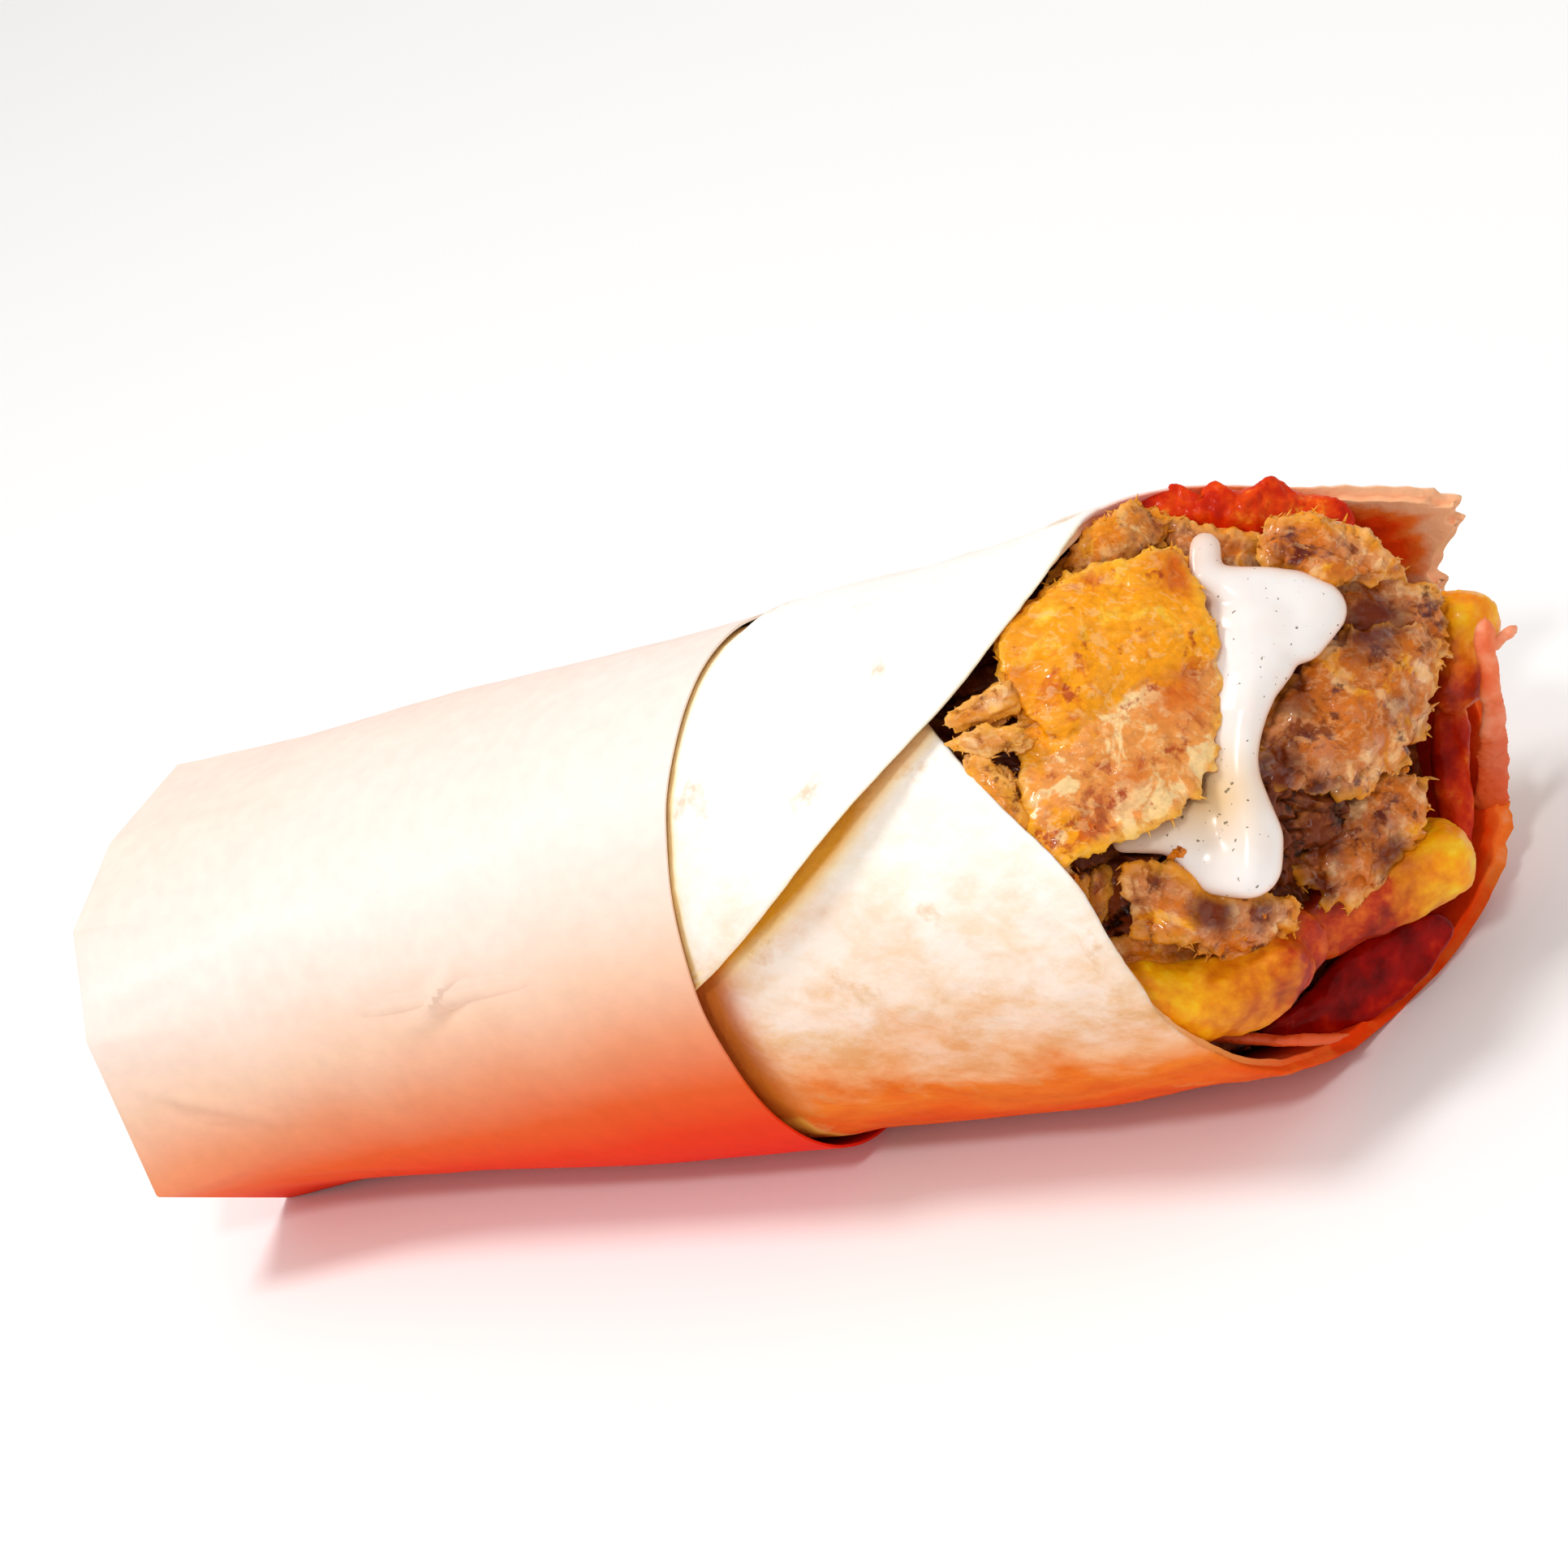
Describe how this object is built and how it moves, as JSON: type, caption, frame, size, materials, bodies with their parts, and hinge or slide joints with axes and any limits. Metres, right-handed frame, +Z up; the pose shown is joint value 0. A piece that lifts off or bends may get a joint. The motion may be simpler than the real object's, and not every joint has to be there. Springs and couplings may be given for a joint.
{
  "type": "gyro wrap",
  "caption": "Flatbread rolled round carved gyro meat, fries, tomato and garlic sauce, its lower half in a folded kraft paper sleeve, lying on its side.",
  "frame": {"origin": "on the floor, under the middle of the wrap's bounding box", "axes": "+X along the roll from the closed paper end to the open mouth, +Z up, -Y the side that shows the flap and the mouth"},
  "size_m": [0.1902, 0.0748, 0.0721],
  "materials": {
    "kraft_paper": "uncoated pale kraft paper, warm with grease towards the underside",
    "wheat_flatbread": "floury cream flatbread with a few toasted freckles",
    "seared_meat": "golden seared crust, moist with fat",
    "roast_meat": "brown roast meat, moist and fibrous",
    "packed_meat": "packed brown shavings in shade",
    "fried_potato": "golden fried potato with a thin crust",
    "tomato_flesh": "wet red tomato",
    "garlic_sauce": "smooth white sauce with herb specks"
  },
  "bodies": {
    "root": {"flatbread": "wheat_flatbread", "fry_front": "fried_potato", "fry_front_inner": "fried_potato", "fry_lower_right": "fried_potato", "fry_upper_right": "fried_potato", "garlic_sauce": "garlic_sauce", "meat_core": "packed_meat", "paper_sleeve": "kraft_paper", "shaving_left_lower": "seared_meat", "shaving_left_middle": "seared_meat", "shaving_left_upper": "seared_meat", "shaving_low_left": "roast_meat", "shaving_low_middle": "roast_meat", "slice_behind_flap": "seared_meat", "slice_large_front": "seared_meat", "slice_low_front": "seared_meat", "slice_low_small": "seared_meat", "slice_lower_right": "roast_meat", "slice_right": "roast_meat", "slice_right_upper": "roast_meat", "slice_top_back": "roast_meat", "slice_top_glazed": "roast_meat", "tomato_lower": "tomato_flesh", "tomato_right": "tomato_flesh", "tomato_top": "tomato_flesh"}
  },
  "joints": []
}
